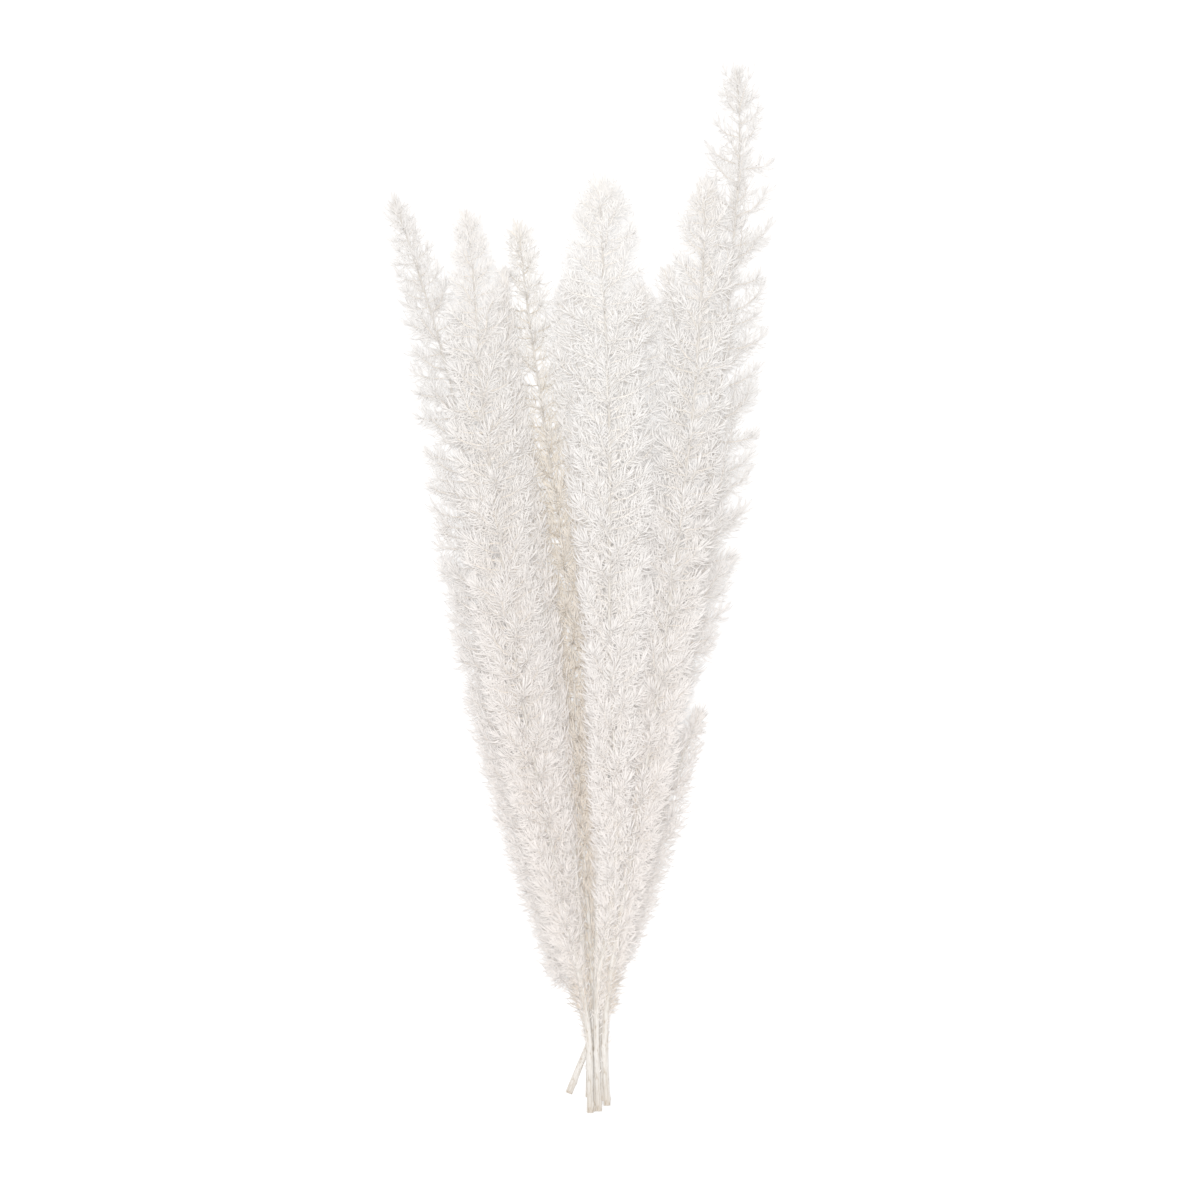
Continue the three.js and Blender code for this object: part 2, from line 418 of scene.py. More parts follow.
class Recipe:
    """A material, and short ways to add nodes to it."""

    def __init__(self, name: str) -> None:
        """Starts the material.

        Args:
            name: Its name.
        """
        self.material = bpy.data.materials.new(name)
        self.material.use_nodes = True
        self.nodes = self.material.node_tree.nodes
        self.shader = self.nodes["Principled BSDF"]

    def feed(self, node: bpy.types.Node, inputs: dict) -> bpy.types.Node:
        """Links or sets a node's inputs.

        Args:
            node: The node.
            inputs: By the input's name, the output to link to it or the value to set.

        Returns:
            The node.
        """
        for name, value in inputs.items():
            if isinstance(value, Socket):
                self.material.node_tree.links.new(value, node.inputs[name])
            else:
                node.inputs[name].default_value = value
        return node

    def ramp(self, value: Socket, stops: list) -> Socket:
        """Adds a colour ramp.

        Args:
            value: The number that the ramp turns into a colour.
            stops: Pairs of place and colour, in order.

        Returns:
            The ramp's colour.
        """
        node = self.feed(self.nodes.new("ShaderNodeValToRGB"), {"Fac": value})
        ramp = node.color_ramp
        while len(ramp.elements) < len(stops):
            ramp.elements.new(0.5)
        for element, (place, colour) in zip(ramp.elements, stops):
            element.position = place
            element.color = (*colour, 1.0)
        return node.outputs["Color"]

    def noise(self, vector: Socket, scale: Triple, detail: float = 2.0) -> Socket:
        """Adds noise stretched to a scale along each axis.

        Args:
            vector: The coordinates.
            scale: How many spots there are to one unit of each axis.
            detail: How many finer layers are laid over the noise.

        Returns:
            The noise, from 0 to 1.
        """
        place = self.feed(self.nodes.new("ShaderNodeMapping"), {"Vector": vector, "Scale": scale})
        inputs = {"Vector": place.outputs["Vector"], "Scale": 1.0, "Detail": detail}
        return self.feed(self.nodes.new("ShaderNodeTexNoise"), inputs).outputs["Fac"]

    def stretch(self, value: Socket, low: float, high: float, within: Span = (0.0, 1.0)) -> Socket:
        """Stretches a number so that it runs from low to high.

        Args:
            value: The number.
            low: What it becomes at the low end of its own range.
            high: What it becomes at the high end.
            within: Its own range.

        Returns:
            The stretched number.
        """
        inputs = {"Value": value, "To Min": low, "To Max": high}
        inputs["From Min"], inputs["From Max"] = within
        return self.feed(self.nodes.new("ShaderNodeMapRange"), inputs).outputs["Result"]

    def product(self, first: Socket, second: Socket) -> Socket:
        """Multiplies two colours.

        Args:
            first: One colour.
            second: The other.

        Returns:
            Their product.
        """
        node = self.nodes.new("ShaderNodeMix")
        node.data_type, node.blend_type = "RGBA", "MULTIPLY"
        return self.feed(node, {"Factor": 1.0, "A": first, "B": second}).outputs["Result"]

    def bump(self, height: Socket, strength: float, distance: float) -> None:
        """Raises the surface by a height.

        Args:
            height: The height, from 0 to 1.
            strength: How strongly it shows.
            distance: What a height of 1 stands for.
        """
        inputs = {"Height": height, "Strength": strength, "Distance": distance}
        bump = self.feed(self.nodes.new("ShaderNodeBump"), inputs)
        self.feed(self.shader, {"Normal": bump.outputs["Normal"]})

    def split(self, vector: Socket) -> Tuple[Socket, Socket]:
        """Gives the first two coordinates of a vector."""
        parts = self.feed(self.nodes.new("ShaderNodeSeparateXYZ"), {"Vector": vector})
        return parts.outputs["X"], parts.outputs["Y"]

    def finish_map(self) -> Tuple[Socket, Socket, Socket]:
        """Reads the finish map.

        Returns:
            Its vector, its first coordinate and its second.
        """
        source = self.nodes.new("ShaderNodeUVMap")
        source.uv_map = FINISH_MAP
        return (source.outputs["UV"], *self.split(source.outputs["UV"]))


@dataclass(frozen=True)
class NeedleFinish:
    """Bleached needles: chalky and pale at the outside, mottled and warmer towards the stems; darker and
    warmer inside the foliage as painted shade.
    """

    bleach: Bleach
    deep_shade: Colour
    pale: Colour
    twig: Colour
    roughness: Span = (0.55, 0.75)
    sheen: float = 0.9
    sheen_tint: Colour = (1.0, 0.96, 0.935)
    low_tint: Colour = (1.0, 0.945, 0.92)
    low_tint_span: Span = (-0.12, 0.12)

    def make(self) -> Material:
        """Builds the material: the map's first axis runs along a needle, its second is the tone.

        Returns:
            The material.
        """
        recipe = Recipe(f"needles_{self.bleach.value}")
        vector, along, tone = recipe.finish_map()
        middle = tuple((deep_shade + 3.0 * pale) / 4.0 for deep_shade, pale in zip(self.deep_shade, self.pale))
        # The tone ramp: its darker colour is painted shade for needles inside the foliage, held back by a
        # neighbour or the ground, or low in the gap; between these, the tone differs at random.
        body = recipe.ramp(tone, [(0.0, self.twig), (TWIG_BAND, self.twig), (TWIG_BAND + 0.04, self.deep_shade),
                                  (0.34, middle), (1.0, self.pale)])
        foot_to_tip = recipe.ramp(along, [(0.0, (0.96, 0.945, 0.915)), (0.3, PLAIN),
                                          (0.85, (1.0, 0.995, 0.985)), (1.0, (0.95, 0.92, 0.87))])
        mottle = recipe.noise(vector, (5.0, 60.0, 1.0))
        spots = recipe.ramp(mottle, [(0.3, (0.96, 0.95, 0.93)), (0.6, PLAIN)])
        # Warmer towards the stems: a tint that grows where the object's Y coordinate is low.
        place = recipe.nodes.new("ShaderNodeTexCoord")
        _, height = recipe.split(place.outputs["Object"])
        height = recipe.stretch(height, 0.0, 1.0, self.low_tint_span)
        low_tint = recipe.ramp(height, [(0.0, self.low_tint), (1.0, PLAIN)])
        colour = recipe.product(recipe.product(body, foot_to_tip), recipe.product(spots, low_tint))
        recipe.feed(recipe.shader, {
            "Base Color": colour, "Roughness": recipe.stretch(mottle, *self.roughness),
            "Sheen Weight": self.sheen, "Sheen Roughness": 0.5, "Sheen Tint": (*self.sheen_tint, 1.0),
        })
        recipe.bump(recipe.noise(vector, (3.0, 240.0, 1.0)), 0.25, 0.1 * MM)
        return recipe.material


@dataclass(frozen=True)
class StemFinish:
    """Bleached bark: ivory with long pale and tan streaks, and a pithy cut at the foot."""

    cut_share: float
    bark: Colour = (0.51, 0.465, 0.405)
    streak: Colour = (0.38, 0.325, 0.255)
    light: Colour = (0.63, 0.60, 0.55)

    def make(self) -> Material:
        """Builds the material: the map's first axis runs up the stem from the middle of the cut.

        Returns:
            The material.
        """
        recipe = Recipe("bark_bleached")
        vector, along, _ = recipe.finish_map()
        streaks = recipe.noise(vector, (30.0, 9.0, 1.0), 4.0)
        bark = recipe.ramp(streaks, [(0.28, self.streak), (0.45, self.bark), (0.62, self.light)])
        flecks = recipe.noise(vector, (130.0, 9.0, 1.0), 4.0)
        worn = recipe.ramp(flecks, [(0.34, (0.56, 0.48, 0.39)), (0.41, (0.86, 0.82, 0.77)), (0.5, PLAIN)])
        cut = self.cut_share
        face = recipe.ramp(along, [(0.0, (0.70, 0.62, 0.50)), (cut * 0.3, (0.78, 0.71, 0.60)),
                                   (cut * 0.8, (0.93, 0.88, 0.80)), (cut, (0.72, 0.64, 0.54)),
                                   (cut * 1.6, PLAIN)])
        colour = recipe.product(recipe.product(bark, worn), face)
        roughness = recipe.stretch(streaks, 0.6, 0.85)
        recipe.feed(recipe.shader, {"Base Color": colour, "Roughness": roughness})
        recipe.bump(recipe.noise(vector, (60.0, 16.0, 1.0), 4.0), 0.9, 0.6 * MM)
        return recipe.material


@dataclass(frozen=True)
class FloorFinish:
    """A plain matt white surface."""

    colour: Colour = (0.93, 0.93, 0.93)

    def make(self) -> Material:
        """Builds the material.

        Returns:
            The material.
        """
        recipe = Recipe("surface_white")
        matt = {"Base Color": (*self.colour, 1.0), "Roughness": 0.9, "Specular IOR Level": 0.1}
        recipe.feed(recipe.shader, matt)
        return recipe.material


NEEDLE_FINISHES = {finish.bleach: finish for finish in (
    # Pearl: painted light, a paler copy of ivory for the plume nearest the light.
    NeedleFinish(Bleach.PEARL_LIT, (0.90, 0.83, 0.73), (0.985, 0.975, 0.96), (0.90, 0.84, 0.75)),
    NeedleFinish(Bleach.IVORY, (0.56, 0.45, 0.31), (0.965, 0.95, 0.935), (0.78, 0.69, 0.57)),
    NeedleFinish(Bleach.CREAM, (0.55, 0.43, 0.29), (0.93, 0.905, 0.88), (0.76, 0.66, 0.53)),
    # Ashen: partly a grey tint, partly painted shade.
    NeedleFinish(Bleach.ASHEN_SHADED, (0.50, 0.43, 0.34), (0.83, 0.81, 0.79), (0.62, 0.54, 0.45), sheen=0.7),
    # Tan: its darker colour is the painted shade in the gap down the middle; its pale colour is the plume's
    # own.
    NeedleFinish(Bleach.TAN_GAP_SHADE, (0.86, 0.735, 0.55), (0.90, 0.88, 0.855), (0.56, 0.45, 0.31), sheen=0.25),
)}


# Plumes


@dataclass(frozen=True)
class Spacing:
    """How the side shoots of a habit stand: their spacing low down and near the tip, how many
    needles a shoot has to a metre, and how many sit in the tuft at its end."""

    low: float
    high: float
    needles_per_metre: float
    tuft: int


SPACINGS = {
    Habit.DENSE: Spacing(1.4 * MM, 3.0 * MM, 2150.0, 8),
    Habit.AIRY: Spacing(1.55 * MM, 3.7 * MM, 2100.0, 9),
    Habit.OPEN: Spacing(2.2 * MM, 5.8 * MM, 2100.0, 11),
}


@dataclass(frozen=True)
class Growth:
    """How a plume has grown: its habit and bleach; against an ordinary plume's, how far its needles
    stand out low down and near its tip, and how steeply its shoots lean; and where along Y its
    needles turn from painted shade to their own tone."""

    habit: Habit = Habit.DENSE
    bleach: Bleach = Bleach.IVORY
    fullness: float = 1.0
    tip_fullness: float = 1.0
    uprightness: float = 1.0
    fade: Span = (-1.0, -0.9)


GROWTHS = {
    # Ashen: partly a grey tint, partly painted shade.
    "far_left": Growth(Habit.AIRY, Bleach.ASHEN_SHADED, fullness=1.35, tip_fullness=1.5),
    "left_front": Growth(bleach=Bleach.CREAM, fullness=1.2, tip_fullness=1.75),
    "left_inner": Growth(bleach=Bleach.CREAM),
    # Middle_low shows in the gap: its tan and its darkening low down are painted shade.
    "middle_low": Growth(Habit.AIRY, Bleach.TAN_GAP_SHADE, fullness=1.2, tip_fullness=1.5, fade=(0.07, 0.19)),
    # Painted light: the plume nearest the light is made paler.
    "centre_front": Growth(bleach=Bleach.PEARL_LIT, tip_fullness=1.05),
    "centre_right": Growth(Habit.AIRY),
    "right_low": Growth(Habit.AIRY, fullness=1.15, tip_fullness=1.2, uprightness=1.5),
    "right_front": Growth(Habit.AIRY, tip_fullness=0.8),
    # Ashen on these two: partly a grey tint, partly painted shade.
    "far_right": Growth(Habit.OPEN, Bleach.ASHEN_SHADED, fullness=0.9, tip_fullness=1.95, uprightness=1.6),
    "short_right": Growth(bleach=Bleach.ASHEN_SHADED, fullness=1.1, tip_fullness=1.3, uprightness=1.3),
}


@dataclass
class Plume:
    """The line of one plume and the room of its foliage, read from the frame."""

    name: str
    growth: Growth
    seed: int
    route: Route = field(init=False)
    room: Room = field(init=False)
    stem_lengths: Array = field(init=False)
    stem_radii: Array = field(init=False)

    RING_GAP = 6.0 * MM
    CLEAR = 0.75 * MM

    def __post_init__(self) -> None:
        """Reads the stem's rings for the line and the foliage's outer points for the room."""
        points = node_points(f"stem_{self.name}")
        points = points[np.argsort(points[:, 1])]
        rings = np.split(points, np.flatnonzero(np.diff(points[:, 1]) > self.RING_GAP) + 1)
        centres = np.array([ring.mean(axis=0) for ring in rings])
        foliage = node_points(f"foliage_{self.name}")
        tip = foliage[np.argmax(foliage[:, 1])]
        self.route = Route.through(np.vstack([centres, tip]))
        radii = [np.linalg.norm(ring - mid, axis=1).max() for ring, mid in zip(rings, centres)]
        self.stem_radii = np.array(radii)
        self.stem_lengths, _, _ = self.route.locate(centres)
        along, _, distance = self.route.locate(foliage)
        outer = distance > self.stem_radius(along) + self.CLEAR
        beyond = along > self.stem_lengths[-1] + 2.0 * MM
        self.room = Room.around(self.route, foliage[outer | beyond])

    def stem_radius(self, along: Array) -> Array:
        """Radius of the stem at lengths from its cut end, falling evenly to a fine tip."""
        lengths = np.append(self.stem_lengths, self.route.length)
        return np.interp(along, lengths, np.append(self.stem_radii, 0.35 * MM))


@dataclass(frozen=True)
class Parting:
    """The gap down the middle of the bundle, over a low plume that shows at the bottom of it."""

    line: Route
    low: float
    high: float

    def clearance(self, points: Array, hand: float) -> Array:
        """How far points are from the gap.

        The gap's middle is the low plume's line seen from above. Its half width grows evenly from
        low at the foot of that line to high at the tip.

        Args:
            points: The points.
            hand: Minus one for plumes left of the gap, one for those right of it.

        Returns:
            The distance from the edge of the gap, less than nothing inside it or past it.
        """
        line = self.line.points
        share = (points[..., 1] - line[0, 1]) / (line[-1, 1] - line[0, 1])
        middle = np.interp(points[..., 1], line[:, 1], line[:, 0])
        half = self.low + (self.high - self.low) * np.clip(share, 0.0, 1.0)
        return hand * (points[..., 0] - middle) - np.where(share < 1.03, half, -1.0)

    def hand(self, route: Route) -> float:
        """The side of the gap that a plume is on: minus one for left, one for right."""
        middle = np.interp(route.points[:, 1], self.line.points[:, 1], self.line.points[:, 0])
        return float(np.sign(np.mean(route.points[:, 0] - middle)))


@dataclass
class Shoots:
    """The side shoots of a plume: where each leaves the stem, and how far it goes each way.

    Along is the length up the stem and reach is the room at the tip. A shoot begins at start and
    goes out by extent, forward by lean and to one side by sway.
    """

    along: Array
    place: Station
    outward: Array
    reach: Array
    start: Array
    extent: Array
    lean: Array
    sway: Array

    LEAST = 0.5 * MM
    DRAWN_IN = 0.72

    @property
    def length(self) -> Array:
        """About how long each shoot is."""
        return np.hypot(self.extent, self.lean)

    def path(self, index: Array, u: Array) -> Array:
        """Points on shoots: out fast at first, then forward, with a slight sway to one side.

        The way out grows as one less (1 - u) to the power 1.5, the way forward as u to the power
        1.5, and the sway as u squared.

        Args:
            index: The shoots' numbers.
            u: Shares of the way along them.

        Returns:
            The points.
        """
        out = self.start[index] + (self.extent[index] - self.start[index]) * (1.0 - (1.0 - u) ** 1.5)
        sideways = np.cross(self.place.along, self.outward)
        return (self.place.points[index] + columns(out) * self.outward[index]
                + columns(self.lean[index] * u**1.5) * self.place.along[index]
                + columns(self.sway[index] * u * u) * sideways[index])

    def draw_in(self, chosen: Array) -> None:
        """Shortens some shoots, but still leaves the least extent.

        Args:
            chosen: Which ones.
        """
        least = self.start[chosen] + self.LEAST
        self.extent[chosen] = np.maximum(self.extent[chosen] * self.DRAWN_IN, least)
        self.lean[chosen] *= self.DRAWN_IN
        self.sway[chosen] *= self.DRAWN_IN


@dataclass
class Foliage:
    """The side shoots and needles of a plume."""

    plume: Plume
    parting: Optional[Parting]
    needle_length: float = 12.0 * MM
    needle_radius: float = 0.29 * MM
    on_stem_gap: float = 0.5 * MM
    strays: int = 34
    tip_needles: int = 46
    tip_zone: float = 9.0 * MM
    proud: float = 7.5 * MM
    pressed: float = -4.5 * MM
    lean: float = 0.24
    lean_above: float = 2.6
    splay: float = 0.27
    tuft_zone: Span = (0.8, 1.0)
    tuft_angles: Span = (5.0, 66.0)
    brush_angles: Span = (80.0, 56.0)
    collar_angle: float = 58.0
    length_spread: Span = (0.78, 1.22)
    parting_wander: float = 1.9 * MM
    hover: float = 1.2 * MM
    lowest: float = 0.45 * MM
    short_of_tip: float = 5.0 * MM
    neck: float = -0.262
    parts: MeshParts = field(default_factory=MeshParts)

    def __post_init__(self) -> None:
        """Reads the plume's line and room, and starts its random numbers."""
        self.route, self.room, self.growth = self.plume.route, self.plume.room, self.plume.growth
        self.spacing = SPACINGS[self.growth.habit]
        self.end = self.route.length - self.short_of_tip
        self.hand = self.parting.hand(self.route) if self.parting else 0.0
        self.rng = np.random.default_rng(self.plume.seed)

    def build(self, material: Material) -> bpy.types.Object:
        """Grows the foliage and makes it one piece.

        Args:
            material: The needles' finish.

        Returns:
            The piece.
        """
        self.shoots = shoots = self.grow_shoots()
        if self.parting:
            index, ends = np.arange(len(shoots.along)), np.ones(len(shoots.along))
            for _ in range(2):
                clear = self.parting.clearance(shoots.path(index, ends), self.hand)
                shoots.draw_in(clear < 0.4 * self.needle_length)
        self.add_twigs()
        self.add_brushes()
        self.add_collar()
        return self.parts.build(f"needles_{self.plume.name}", material)

    def overhang(self, along: Array, reach: Array) -> Array:
        """How far needle tips may stand past the room.

        Where the reach is nearly the widest at that length the foliage is free and stands proud;
        where it is much less, a neighbour or the ground holds it back.

        Args:
            along: Lengths along the stem.
            reach: The room there, in the direction looked at.

        Returns:
            The overhang, less than nothing where the foliage is held back.
        """
        growth = self.growth
        to_tip = ease((along - self.route.length + 120.0 * MM) / (70.0 * MM))
        proud = self.proud * (growth.fullness + (growth.tip_fullness - growth.fullness) * to_tip)
        return self.pressed + (proud - self.pressed) * self.freedom(along, reach)

    def freedom(self, along: Array, reach: Array) -> Array:
        """From 0 where the foliage is held back by a neighbour or the ground, to 1 where it is free."""
        widest = np.interp(along, self.room.lengths, self.room.reach.max(axis=1))
        return ease((reach / np.maximum(widest, 1.0 * MM) - 0.5) / 0.4)

    def grow_shoots(self) -> Shoots:
        """Grows the shoots into the room, leaning most where they stand above or below the stem.

        Returns:
            The shoots.
        """
        rng = self.rng
        along, angle, reach = self.set_shoots()
        place = self.route.station(along)
        outward = place.outward(angle)
        start = self.plume.stem_radius(along) * 0.6
        extent = reach + self.overhang(along, reach) - 0.78 * self.needle_length
        extent = np.maximum(extent * rng.uniform(0.85, 1.08, len(along)), start + Shoots.LEAST)
        upward = self.lean * (1.0 + self.lean_above * np.abs(outward[:, 2])) * self.growth.uprightness
        lean = upward * rng.uniform(0.4, 1.6, len(along)) * extent
        sway = rng.normal(0.0, 0.22, len(along)) * extent
        return Shoots(along, place, outward, reach, start, extent, lean, sway)

    def set_shoots(self) -> Tuple[Array, Array, Array]:
        """Sets the shoots in a spiral up the stem.

        The number of shoots up to a length is the sum of one over their spacing. Each shoot is a
        golden angle on from the last, less the splay times the sine of twice the angle, which
        moves shoots from above and below the stem to its sides.

        Returns:
            Their lengths along the stem, their angles round it and the room at their tips.
        """
        rng, room, spacing = self.rng, self.room, self.spacing
        foot = np.interp(self.neck, self.route.points[:, 1], self.route.lengths)
        foot = min(foot, room.lengths[0] - 12.0 * MM)
        grid = np.linspace(foot, self.end, 600)
        share = ease((grid - grid[0]) / (grid[-1] - grid[0]) * 1.4 - 0.35)
        apart = spacing.low + (spacing.high - spacing.low) * share
        apart *= 0.5 + 0.5 * ease((grid[-1] - grid) / (40.0 * MM))
        total = np.cumsum(np.gradient(grid) / apart)
        order = np.arange(int(total[-1]))
        along = np.interp(order + rng.uniform(0.1, 0.9, len(order)), total, grid)
        angle = order * GOLDEN_ANGLE + rng.normal(0.0, 0.12, len(order))
        angle -= self.splay * np.sin(2.0 * angle)
        reach = room.at(along + self.lean * 0.7 * room.at(along, angle), angle)
        below = room.lengths[0] + 6.0 * MM - foot
        return along, angle, reach * (0.25 + 0.75 * ease((along - foot) / below))

    def add_twigs(self) -> None:
        """Adds the shoots' twigs, each a thin spike along its path."""
        shoots, steps = self.shoots, (0.0, 0.4, 0.75, 1.0)
        index = np.arange(len(shoots.along))
        centres = self.lift(np.stack([shoots.path(index, np.full(len(index), u)) for u in steps], axis=1))
        thick = np.clip(shoots.length * 0.028, 0.15 * MM, 0.6 * MM)
        radii = thick[:, None] * np.array([1.0, 0.8, 0.55])
        add_spikes(self.parts, centres, radii, np.full(len(index), TWIG_BAND * 0.4))

    def add_brushes(self) -> None:
        """Adds the needles, in a spiral brush along every shoot and a tuft at its end.

        The angle at which a needle leaves its shoot closes evenly from the foot of the shoot to
        its end, and the needle bends forward on the way to its tip.
        """
        rng, shoots = self.rng, self.shoots
        along, place = shoots.along, shoots.place
        counts = shoots.length * self.spacing.needles_per_metre
        counts *= 1.0 - 0.35 * ease((along - along[0]) / (along[-1] - along[0]) * 1.6 - 0.5)
        tufts = np.ceil(self.spacing.tuft * np.clip(shoots.extent / (9.0 * MM), 0.3, 1.0)).astype(int)
        counts = counts.astype(int) + tufts
        index = np.repeat(np.arange(len(counts)), counts)
        order = np.arange(len(index)) - np.repeat(np.cumsum(counts) - counts, counts)
        share = (order + 0.5) / counts[index]
        tuft = order >= (counts - tufts)[index]
        u = np.where(tuft, rng.uniform(*self.tuft_zone, len(index)), 0.14 + 0.84 * share)
        base = shoots.path(index, u)
        ahead = np.minimum(u + 0.03, 1.0)
        shoot = unit(shoots.path(index, ahead) - shoots.path(index, ahead - 0.06))

        first = unit(np.cross(shoot, place.along[index] + 0.37 * place.side[index]))
        second = np.cross(shoot, first)
        turn = order * GOLDEN_ANGLE + rng.uniform(-0.5, 0.5, len(index))
        across = columns(np.cos(turn)) * first + columns(np.sin(turn)) * second
        foot, end = self.brush_angles
        wide = np.where(tuft, rng.uniform(*self.tuft_angles, len(index)), foot + (end - foot) * u)
        wide = np.radians(wide) + rng.normal(0.0, 0.15, len(index))
        heading = columns(np.cos(wide)) * shoot + columns(np.sin(wide)) * across

        reach = shoots.reach[index]
        length = self.needle_length * rng.uniform(*self.length_spread, len(index))
        length *= np.clip(0.74 + 0.26 * reach / (12.0 * MM), 0.5, 1.0)
        bend = 0.26 * shoot + 0.20 * place.along[index] - 0.05 * across
        bend += rng.normal(0.0, 0.13, bend.shape)

        length = self.fit(index, base, unit(heading + 0.5 * bend), length)
        # Painted shade: needles near the stem, inside the foliage, get a darker tone; the rest of the tone
        # differs at random.
        out = np.linalg.norm(base - place.points[index], axis=-1) / np.maximum(reach, 1.0 * MM)
        tone = 0.62 * ease(out * 1.25 - 0.15) + 0.2 * rng.uniform(0, 1, len(counts))[index]
        tone = tone + 0.18 * rng.uniform(0, 1, len(index))
        # Painted shade: needles held back by a neighbour or the ground are darker.
        tone *= 0.03 + 0.97 * self.freedom(along, shoots.reach)[index]
        self.add_needles(base, heading, bend, length, tone)

    def add_collar(self) -> None:
        """Adds short needles on the stem itself: between the shoots, below them and at the tip."""
        rng, foot, end = self.rng, self.shoots.along[0], self.end
        along = rng.uniform(foot, end, int((end - foot) / self.on_stem_gap))
        strays = foot - rng.exponential(11.0 * MM, self.strays)
        last = rng.uniform(end - self.tip_zone, end + 3.0 * MM, self.tip_needles)
        along = np.concatenate([along, strays[strays > 8.0 * MM], last])
        place = self.route.station(along)
        outward = place.outward(rng.uniform(0.0, 2.0 * np.pi, len(along)))
        near_tip = along > end - self.tip_zone
        wide = np.radians(np.where(near_tip, rng.uniform(5, 55, len(along)), self.collar_angle))
        heading = columns(np.cos(wide)) * place.along + columns(np.sin(wide)) * outward
        base = place.points + columns(0.6 * self.plume.stem_radius(along)) * outward
        bend = 0.25 * place.along + rng.normal(0.0, 0.08, base.shape)
        length = self.needle_length * rng.uniform(0.6, 1.0, len(along))
        length *= np.where(along < foot, rng.uniform(0.3, 0.7, len(along)), 1.0)
        self.add_needles(base, heading, bend, length, rng.uniform(0.1, 0.7, len(along)))

    def add_needles(self, base: Array, heading: Array, bend: Array, length: Array, tone: Array) -> None:
        """Adds needles, each a spike that swells to its middle and bends to its tip.

        Args:
            base: The needles' feet.
            heading: The way they leave their feet.
            bend: What is added to the heading by the tip.
            length: Their lengths.
            tone: How pale they are, from 0 to 1, partly at random and partly as painted shade.
        """
        half = base + columns(0.5 * length) * (heading + 0.25 * bend)
        tip = base + columns(length) * unit(heading + bend)
        centres = self.lift(np.stack([base, half, tip], axis=1))
        thick = self.needle_radius * self.rng.uniform(0.8, 1.2, len(length))
        radii = thick[:, None] * np.array([0.62, 1.0])
        # Painted shade in the gap: the tone darkens below the growth's span along Y.
        low, high = self.growth.fade
        tone = tone * (0.12 + 0.88 * ease((base[:, 1] - low) / (high - low)))
        if self.parting:
            edge = self.rng.normal(0.0, self.parting_wander, len(length))
            stays = self.parting.clearance(tip, self.hand) > edge
            centres, radii, tone = centres[stays], radii[stays], tone[stays]
        add_spikes(self.parts, centres, radii, TWIG_BAND + 0.05 + (0.93 - TWIG_BAND) * tone)

    def fit(self, index: Array, base: Array, heading: Array, length: Array) -> Array:
        """Shortens needles that would pass the room by more than they may stand proud.

        Args:
            index: Each needle's shoot.
            base: The needles' feet.
            heading: The way to their tips.
            length: Their lengths.

        Returns:
            The lengths, shortened where they must be.
        """
        place = self.shoots.place
        tip = base + columns(length) * heading - place.points[index]
        foot = base - place.points[index]
        side, rise, way = place.side[index], place.rise[index], place.along[index]
        across, above = np.sum(tip * side, axis=-1), np.sum(tip * rise, axis=-1)
        far = np.hypot(across, above)
        near = np.hypot(np.sum(foot * side, axis=-1), np.sum(foot * rise, axis=-1))
        beside = self.shoots.along[index] + np.sum(tip * way, axis=-1)
        reach = self.room.at(beside, np.arctan2(above, across))
        limit = reach + self.overhang(beside, reach) + self.rng.uniform(-3.0, 1.5, len(index)) * MM
        share = np.clip((limit - near) / np.maximum(far - near, 1e-6), 0.35, 1.0)
        return length * np.where(far > limit, share, 1.0)

    def lift(self, points: Array) -> Array:
        """Lays what would pass through the ground on it.

        Below the hover height h, a height z becomes h times e to the power (z - h) / h.

        Args:
            points: The points.

        Returns:
            The points, all above the ground.
        """
        height = points[..., 2]
        laid = self.hover * np.exp(np.minimum(height - self.hover, 0.0) / self.hover)
        raised = points.copy()
        raised[..., 2] = np.where(height < self.hover, np.maximum(laid, self.lowest), height)
        return raised


